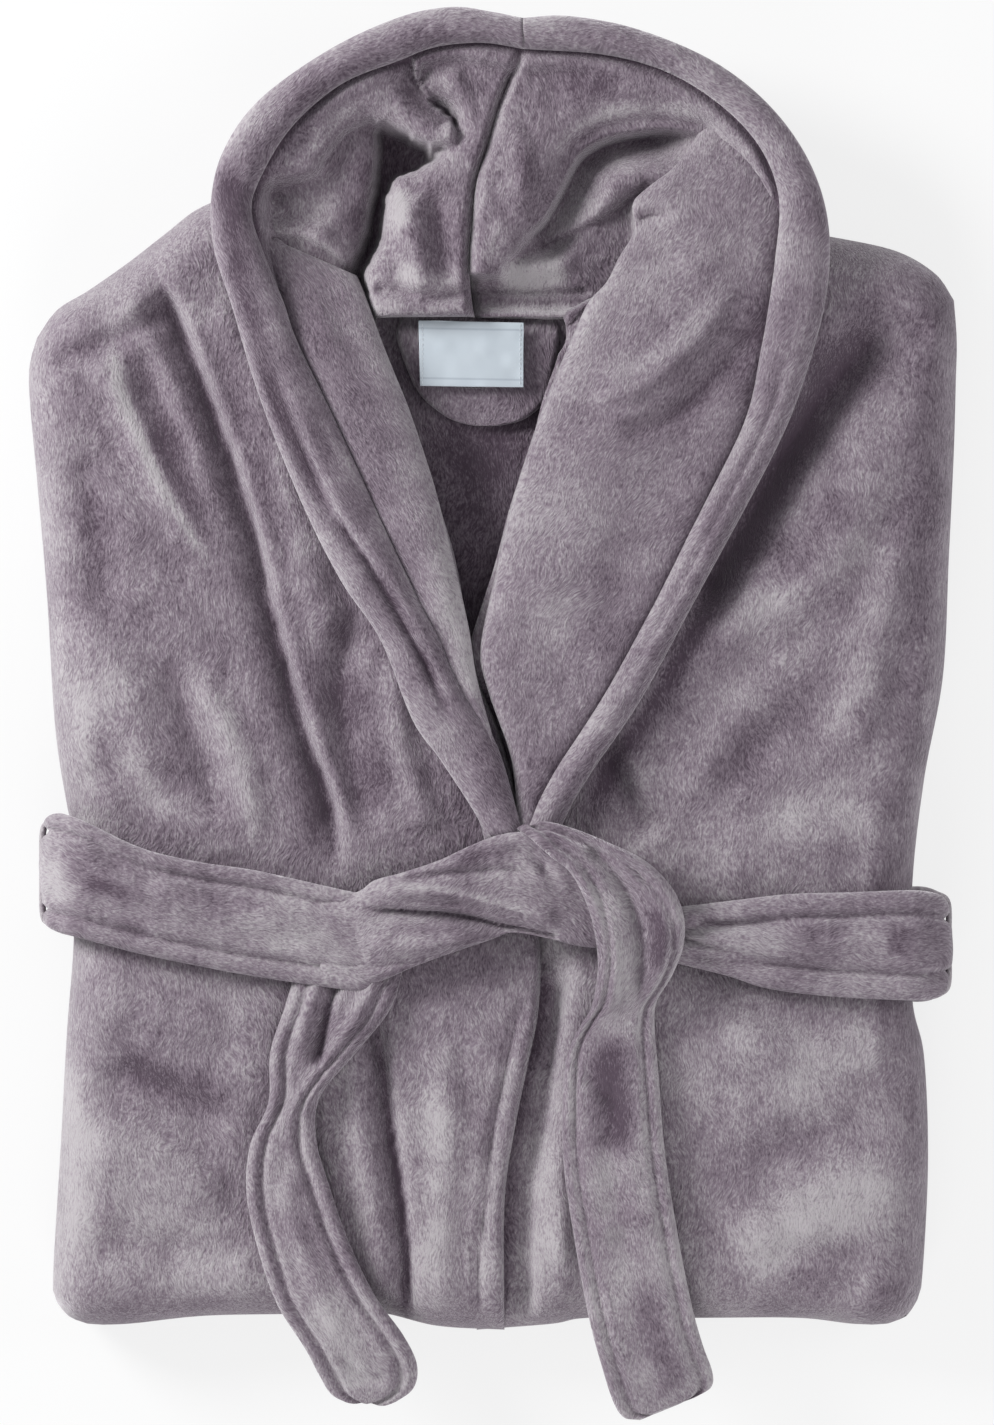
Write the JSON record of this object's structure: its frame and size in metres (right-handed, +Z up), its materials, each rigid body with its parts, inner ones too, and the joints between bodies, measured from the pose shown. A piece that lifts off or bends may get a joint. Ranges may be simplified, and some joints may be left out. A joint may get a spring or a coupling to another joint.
{
  "type": "folded hooded bathrobe",
  "caption": "Hooded plush bathrobe folded flat for a shelf, front up, hood spread open at the top, tied with its own belt whose two tails hang over the bottom fold.",
  "frame": {"origin": "centre of the bundle's outline, on the plane that it lies on", "axes": "+Y from the belt tails to the top of the hood, +Z up out of the front of the robe, +X to the wearer's left side"},
  "size_m": [0.4651, 0.708, 0.076],
  "materials": {
    "plush": "brushed plush fleece, mauve grey, with a silvery nap",
    "plush_trim": "the same plush sewn into bands, cuffs and belt",
    "label_satin": "woven satin",
    "loop_tape": "woven herringbone tape"
  },
  "bodies": {
    "robe": {"right_front_panel": "plush", "left_front_panel": "plush", "back_panel": "plush", "right_sleeve": "plush", "left_sleeve": "plush", "right_cuff": "plush_trim", "left_cuff": "plush_trim", "right_pocket": "plush", "left_pocket": "plush", "care_label": "label_satin", "neck_facing": "plush", "right_lapel": "plush", "left_lapel": "plush", "right_lapel_band": "plush_trim", "left_lapel_band": "plush_trim", "belt_right_run": "plush_trim", "belt_left_run": "plush_trim", "belt_back_run": "plush_trim", "belt_crossing": "plush_trim", "belt_knot": "plush_trim", "right_belt_loop": "plush_trim", "left_belt_loop": "plush_trim"},
    "hood": {"hood_right_half": "plush", "hood_left_half": "plush", "hood_band_right": "plush_trim", "hood_band_left": "plush_trim"},
    "label": {"neck_label": "label_satin"},
    "hanger": {"hanger_loop": "loop_tape"},
    "right_belt_end": {"right_tail": "plush_trim"},
    "left_belt_end": {"left_tail": "plush_trim"}
  },
  "joints": [
    {"name": "hood_lift", "type": "hinge", "parent": "robe", "child": "hood", "pos_m": [0, 0.205, 0.0655], "axis": [1, 0, 0], "range_deg": [0, 75]},
    {"name": "label_flip", "type": "hinge", "parent": "robe", "child": "label", "pos_m": [-0.0105, 0.1995, 0.0405], "axis": [-1, 0, 0], "range_deg": [0, 85]},
    {"name": "hanger_flip", "type": "hinge", "parent": "robe", "child": "hanger", "pos_m": [-0.0105, 0.1995, 0.0405], "axis": [-1, 0, 0], "range_deg": [0, 85]},
    {"name": "right_tail_lift", "type": "hinge", "parent": "robe", "child": "right_belt_end", "pos_m": [-0.075, -0.14, 0.058], "axis": [-1, 0, 0], "range_deg": [0, 90]},
    {"name": "left_tail_lift", "type": "hinge", "parent": "robe", "child": "left_belt_end", "pos_m": [0.072, -0.125, 0.058], "axis": [-1, 0, 0], "range_deg": [0, 90]}
  ],
  "couplings": [
    {"joint": "hanger_flip", "follows": "label_flip", "ratio": 1}
  ]
}
